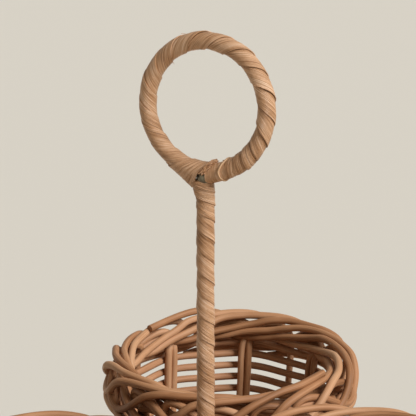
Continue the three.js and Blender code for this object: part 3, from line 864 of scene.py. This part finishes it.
def loose_fibre(place, length, draw):
    """A fibre that has come loose from the bare edge of a strip."""
    start = draw.uniform(*LOOSE_FIBRE_PLACES)
    span = draw.uniform(*LOOSE_FIBRE_SPANS) / length
    reach = draw.uniform(*LOOSE_FIBRE_REACHES)
    route = []
    for bend in range(LOOSE_FIBRE_BENDS + 1):
        route.append(place(start + bend * span, 0.0, reach * (bend / LOOSE_FIBRE_BENDS) ** 2))
    return cane_mesh(
        bent_route(route), LOOSE_FIBRE, LOOSE_FIBRE_TONE, new_seed(draw),
        wobble=0.0, step=LOOSE_FIBRE_STEP,
    )


def add_wound_strip(node, turns, under, pitch_of, width_of, at):
    """A strip of peel wound on a rod, each turn over the edge of the turn before it.

    under is its covered edge's distance from the rod's middle, pitch_of(turn) the climb of a turn,
    width_of(turn) the strip's width, and at(turn, shift, lift) the place that lies shift from its bare
    edge and lift from the rod's middle.
    """
    draw = random.Random(node)
    seed = new_seed(draw)
    length = turns * tau * under
    widest = max(width_of(0), width_of(turns))

    def place(along, across, raised=0.0):
        turn = along * turns
        width = width_of(turn)
        lift = under + raised + built_up(across, width, pitch_of(turn) / 2)
        lift += fibre_height(along * length, across, seed) * min(widest / width, PEEL_RIDGE_MOST)
        bulge_at = (along * length / PEEL_BULGE_LENGTH, across, seed + PEEL_BULGE_SEED)
        lift += PEEL_BULGE * noise.noise(bulge_at)
        fray_at = (along * length / PEEL_FRAY_LENGTH, across * PEEL_FRAY_WAVES, seed + PEEL_FRAY_SEED)
        fray = PEEL_FRAY * abs(2 * across - 1) * noise.noise(fray_at)
        return at(turn, across * width + fray, lift)

    def shade(along, across):
        turn = along * turns
        seam = pitch_of(turn) / 2 / width_of(turn)
        # Painted shade: a strip is painted darker where the next turn laps over it, for the shadow in that
        # seam
        covered = min(max((across - seam) / SEAM_SHARE + 1, 0), 1) if turn < turns - 1 else 0
        # Paler along its bare edge, by an amount that comes and goes along the strip
        edge = max(1 - across / EDGE_SHARE, 0)
        pale_edge_amount = 0.5 + noise.noise((along * length / EDGE_PALE_LENGTH, seed, EDGE_AT))
        return EDGE_PALE * edge * pale_edge_amount - SEAM_PAINTED_SHADE * covered

    rows = round(turns * PEEL_ROWS)
    tone = draw.uniform(*PEEL_TONES)
    shape = peel_sheet(place, length, width_of(turns / 2), rows, PEEL_COLUMNS, tone, seed, shade)
    for _ in range(LOOSE_FIBRES):
        take_in(shape, loose_fibre(place, length, draw))
    add_piece(f"{node}_strip", shape, "peel", [node])


def climbed(pitches, marks):
    """How far a winding has climbed at each mark, from its pitch there."""
    steps = (pitches[1:] + pitches[:-1]) / 2 * np.diff(marks)
    return np.concatenate([[0.0], np.cumsum(steps)])


def add_stem_peel(strip, node):
    """The second strip is half a turn behind the first, and ends above it."""
    shrinking, shrunk, _ = STEM_CLOSE_TURNS
    last_climb = (shrinking - shrunk) * (STEM_PITCH + STEM_LAST_PITCH) / 2 + shrunk * STEM_LAST_PITCH
    climb = stem_top - STEM_LAST_EDGE - stem_foot
    turns = (climb - last_climb) / STEM_PITCH + shrinking
    start = STEM_PEEL_END + tau * turns + strip * pi
    marks = np.linspace(0, turns + STEM_SPARE_TURNS, WINDING_MARKS)
    closing_marks = [turns - before for before in STEM_CLOSE_TURNS]

    def pitch_of(turn):
        return np.interp(turn, closing_marks, (STEM_PITCH, STEM_LAST_PITCH, STEM_LAST_PITCH))

    def width_of(turn):
        return np.interp(turn, closing_marks, STEM_STRIPS)

    heights = climbed(pitch_of(marks), marks)

    def on_stem(turn, shift, lift):
        height = stem_foot + np.interp(turn, marks, heights) + shift
        angle = start - tau * turn
        rise = max(0, 1 - (stem_top - height) / STEM_FLARE_HEIGHT)
        closing = max(0, 1 - (stem_top - height) / STEM_SHOULDER) ** 2
        lift += STEM_FLARE * rise * max(0, -cos(angle)) ** 2
        return stem_axis + polar(angle, lift + (ROD / 2 + PEEL - lift) * closing, height)

    add_wound_strip(node, turns + strip * STEM_PAST_TURNS, STEM_UNDER, pitch_of, width_of, on_stem)


def add_ring_peel(strip, node):
    """The second strip is half a turn behind the first."""
    start, end = RING_PEEL_SPAN
    close, wide = RING_CLOSE_TURNS
    closing = close * RING_CLOSE_PITCH + (wide - close) * (RING_CLOSE_PITCH + RING_PITCH) / 2
    turns = wide + (end - start - closing) / RING_PITCH
    marks = np.linspace(0, turns, WINDING_MARKS)
    pitches = np.interp(marks, RING_CLOSE_TURNS, (RING_CLOSE_PITCH, RING_PITCH))
    degrees_on = climbed(pitches, marks)

    def roll_of(turn):
        return strip * pi - tau * turn

    def ring_radius(turn):
        return RING_RADIUS + RING_UNDER * cos(roll_of(turn))

    def pitch_of(turn):
        return radians(np.interp(turn, marks, pitches)) * ring_radius(turn)

    def width_of(turn):
        return np.interp(turn, RING_CLOSE_TURNS, (RING_CLOSE_STRIP, RING_STRIP))

    def on_ring(turn, shift, lift):
        around = radians(start + np.interp(turn, marks, degrees_on)) + shift / ring_radius(turn)
        return beside_ring(around, roll_of(turn), lift)

    add_wound_strip(node, turns, RING_UNDER, pitch_of, width_of, on_ring)


add_rods()
for strip, letter in enumerate("ab"):
    add_stem_peel(strip, f"stem_peel_{letter}")
    add_ring_peel(strip, f"ring_peel_{letter}")


# Joint of ring and stem
def part_way(span, share):
    """The value at a share of the way from the start of a span to its end."""
    start, end = span
    return start + (end - start) * share


def flap_edge(roll):
    """Degrees round the ring and distance from the rod's middle of the flap's free edge."""
    rolls, edges, lifts = zip(*FLAP_EDGE)
    return np.interp(roll, rolls, edges), np.interp(roll, rolls, lifts)


def add_flap():
    """The last wide turn of the ring's winding: its corner hangs down, its free edge is curled over."""
    length = radians(JOINT_ROLL[0] - JOINT_ROLL[1]) * FLAP_LIFT
    width = radians(FLAP_WIDTH) * RING_RADIUS

    def on_flap(along, across):
        roll = part_way(JOINT_ROLL, along)
        edge, edge_lift = flap_edge(roll)
        lift = FLAP_LIFT + (edge_lift - FLAP_LIFT) * across ** 2
        lift += fibre_height(along * length, across, FLAP_SEED)
        return beside_ring(radians(edge - FLAP_WIDTH * (1 - across)), radians(roll), lift)

    shape = peel_sheet(on_flap, length, width, PEEL_ROWS, PEEL_COLUMNS, FLAP_TONE, FLAP_SEED)
    add_piece("joint_flap_sheet", shape, "peel", ["joint_flap"])

    def on_curl(along, across):
        roll = part_way(CURL_ROLL, along)
        ragged = CURL_RAGGED * noise.noise((along * CURL_RAGGED_WAVES, across, FLAP_SEED))
        turn = radians(CURL_TURN[0] + (CURL_TURN[1] - CURL_TURN[0] + ragged) * across)
        edge, edge_lift = flap_edge(roll)
        radius = CURL_RADIUS * (1 - CURL_TAPER * along)
        around = radians(edge) + radius * (1 - cos(turn)) / RING_RADIUS
        return beside_ring(around, radians(roll), edge_lift + radius * sin(turn))

    shape = peel_sheet(on_curl, CURL_LENGTH, CURL_WIDTH, CURL_ROWS, CURL_COLUMNS, CURL_SHADED_TONE, FLAP_SEED)
    draw = random.Random("joint_flap_curl")
    for _ in range(CURL_FIBRES):
        spread = draw.uniform(*CURL_FIBRE_SPREADS)
        start = draw.uniform(*CURL_FIBRE_STARTS)
        end = draw.uniform(*CURL_FIBRE_ENDS)
        route = []
        for along in np.linspace(start, end, CURL_FIBRE_BENDS):
            route.append(on_curl(along, spread + draw.uniform(-CURL_FIBRE_STRAY, CURL_FIBRE_STRAY)))
        tone = draw.uniform(*CURL_FIBRE_SHADED_TONES)
        seed = new_seed(draw)
        fibre = cane_mesh(bent_route(route), CURL_FIBRE, tone, seed, CURL_FIBRE_WOBBLE, CURL_FIBRE_STEP)
        take_in(shape, fibre)
    add_piece("joint_flap_curl", shape, "peel", ["joint_flap"])


def add_collar():
    """The smooth broad turn of peel right of the joint."""
    length = radians(JOINT_ROLL[0] - JOINT_ROLL[1]) * COLLAR_LIFT
    width = radians(COLLAR_SPAN[1] - COLLAR_SPAN[0]) * RING_RADIUS

    def on_collar(along, across):
        roll = part_way(JOINT_ROLL, along)
        around = part_way(COLLAR_SPAN, across)
        lift = COLLAR_LIFT + COLLAR_RIDGE * fibre_height(along * length, across, COLLAR_SEED)
        lift += COLLAR_FLARE * (1 - across) ** 2 * max(0, cos(radians(roll)))
        return beside_ring(radians(around), radians(roll), lift)

    shape = peel_sheet(on_collar, length, width, PEEL_ROWS, PEEL_COLUMNS, COLLAR_SHADED_TONE, COLLAR_SEED)
    add_piece("joint_collar_sheet", shape, "peel", ["joint_collar"])


def add_binding():
    """The thin pale cane wound once round the collar."""
    rolls, places = zip(*BINDING_BENDS)
    lift = COLLAR_LIFT + BINDING / 2
    route = []
    for roll in np.arange(rolls[0], rolls[-1], -BINDING_ARC):
        around = np.interp(-roll, [-value for value in rolls], places)
        route.append(beside_ring(radians(around), radians(roll), lift))
    bent = bent_route(route, BINDING_SPANS)
    mesh = cane_mesh(bent, BINDING, BINDING_TONE, BINDING_SEED, BINDING_WOBBLE, BINDING_STEP)
    add_piece("joint_binding_cane", joined([mesh]), "tie", ["joint_binding"])


add_flap()
add_collar()
add_binding()


# Ties
def add_tie(node, bends):
    draw = random.Random(node)
    tone = draw.uniform(*TIE_TONES)
    mesh = cane_mesh(bent_route(bends), TIE, tone, new_seed(draw), HELD_WOBBLE, TIE_STEP)
    add_piece(f"{node}_cane", joined([mesh]), "tie", [node])


def add_stem_tie(cup, gap, level):
    """A tie round the stem and, through the weave, round the stake of a cup that faces it."""
    height = weave_height(cup, gap + 0.5)
    stake = cup.place(stake_angle(cup, 0, height), stake_radius(0, height), 0.0)
    reach = stake - stem_axis
    heading = atan2(reach.y, reach.x)
    round_stem = STEM_UNDER + 2 * PEEL + TIE / 2
    round_stake = (SPOKE + TIE) / 2
    spread = pi / 2 - asin((round_stem - round_stake) / reach.length)
    steps = np.linspace(0, 1, TIE_ARC_BENDS + 1)
    bends = []
    for share in steps:
        angle = pi + TIE_LAP - (pi + TIE_LAP - spread) * share
        bends.append(stem_axis + polar(heading + angle, round_stem, height - TIE_CLIMB * (1 - share)))
    for share in steps:
        bends.append(stake + polar(heading + spread - 2 * spread * share, round_stake, height))
    for share in steps:
        angle = -spread - (pi + TIE_LAP - spread) * share
        bends.append(stem_axis + polar(heading + angle, round_stem, height + TIE_CLIMB * share))
    add_tie(f"{cup.name}_stem_tie_{level}", bends)


def add_cup_tie(first, second, gap, level):
    """An upright tie that takes in a few rounds of the weaves of two cups."""
    along = (second.middle - first.middle).normalized()
    sideways = Vector((-along.y, along.x, 0))
    corners = []
    for cup, outward, from_stake in ((first, along, -CUP_TIE_TURN), (second, -along, CUP_TIE_TURN)):
        for row in (gap, gap + CUP_TIE_ROWS):
            height = weave_height(cup, row + 0.5 + from_stake / tau)
            inner = weave_radius(height) * cos(step_angle / 2) - (WEAVER + TIE) / 2
            corners.append(cup.middle + outward * inner + Vector((0, 0, height)))
    first_low, first_high, second_low, second_high = corners
    under = (first_low + second_low) / 2
    turns = [under, first_low, first_high, second_high, second_low, under]
    bends = [under + along * CUP_TIE_LAP]
    for before, corner, after in zip(turns, turns[1:], turns[2:]):
        bends.append(corner + (before - corner).normalized() * TIE)
        bends.append(corner + (after - corner).normalized() * TIE)
    bends.append(under - along * CUP_TIE_LAP)
    shifts = np.linspace(-0.5, 0.5, len(bends)) * CUP_TIE_SHIFT
    bends = [bend + sideways * shift for bend, shift in zip(bends, shifts)]
    add_tie(f"{first.name}_{second.name}_cup_tie_{level}", bends)


for number, level in enumerate(("low", "high")):
    for cup, next_cup in zip(cups, cups[1:] + cups[:1]):
        add_stem_tie(cup, STEM_TIE_GAPS[cup.name][number], level)
        add_cup_tie(cup, next_cup, CUP_TIE_GAPS[number], level)


# Picture
def add_floor():
    shape = bmesh.new()
    bmesh.ops.create_grid(shape, x_segments=1, y_segments=1, size=FLOOR_REACH)
    mesh = bpy.data.meshes.new("floor")
    shape.to_mesh(mesh)
    shape.free()
    material, _, shader = new_material("matt_floor")
    shader.inputs["Base Color"].default_value = linear(FLOOR_COLOUR)
    shader.inputs["Roughness"].default_value = FLOOR_ROUGHNESS
    mesh.materials.append(material)
    floor = bpy.data.objects.new("floor", mesh)
    floor.location.z = -FLOOR_GAP
    bpy.context.scene.collection.objects.link(floor)


def add_key_light():
    """A soft light from far away."""
    light = bpy.data.lights.new("key", "SUN")
    light.angle = KEY_SPREAD
    light.energy = KEY_STRENGTH
    lamp = bpy.data.objects.new("key", light)
    level = cos(KEY_ELEVATION)
    way = Vector((sin(KEY_AZIMUTH) * level, -cos(KEY_AZIMUTH) * level, sin(KEY_ELEVATION)))
    lamp.location = way
    lamp.rotation_euler = way.to_track_quat("Z", "Y").to_euler()
    bpy.context.scene.collection.objects.link(lamp)


def add_world():
    """Even light from all round, which the camera and mirror images show as pale as the floor."""
    world = bpy.data.worlds.new("studio")
    world.use_nodes = True
    tree = world.node_tree
    tree.nodes.clear()
    fill = {"Color": linear(FILL_COLOUR), "Strength": FILL_STRENGTH}
    light = add_node(tree, "ShaderNodeBackground", fill)
    seen = add_node(tree, "ShaderNodeBackground", {"Color": linear(FLOOR_COLOUR)})
    rays = add_node(tree, "ShaderNodeLightPath").outputs
    looking = rays["Is Camera Ray"]
    for kind in ("Is Glossy Ray", "Is Transmission Ray"):
        either_ray = add_node(tree, "ShaderNodeMath", {0: looking, 1: rays[kind]}, operation="MAXIMUM")
        looking = either_ray.outputs["Value"]
    mixed = add_node(
        tree, "ShaderNodeMixShader",
        {0: looking, 1: light.outputs["Background"], 2: seen.outputs["Background"]},
    )
    add_node(tree, "ShaderNodeOutputWorld", {"Surface": mixed.outputs["Shader"]})
    bpy.context.scene.world = world


def add_camera():
    """The camera that was fitted to the ring and the rim behind the stem."""
    camera = bpy.data.cameras.new("camera")
    camera.sensor_width = SENSOR
    camera.lens = FOCAL_PIXELS * SENSOR / PHOTO_PIXELS
    camera.clip_end = 2 * FLOOR_REACH
    holder = bpy.data.objects.new("camera", camera)
    back = Vector((sin(CAMERA_AZIMUTH), -cos(CAMERA_AZIMUTH), 0))
    right = Vector((cos(CAMERA_AZIMUTH), sin(CAMERA_AZIMUTH), 0))
    place = stem_axis + back * CAMERA_BACK + right * CAMERA_ASIDE + Vector((0, 0, CAMERA_HEIGHT))
    holder.location = place * MM
    holder.rotation_euler = (pi / 2 - CAMERA_PITCH, 0, CAMERA_AZIMUTH)
    bpy.context.scene.collection.objects.link(holder)
    bpy.context.scene.camera = holder


add_floor()
add_key_light()
add_world()
add_camera()
bpy.context.scene.view_settings.view_transform = "Standard"
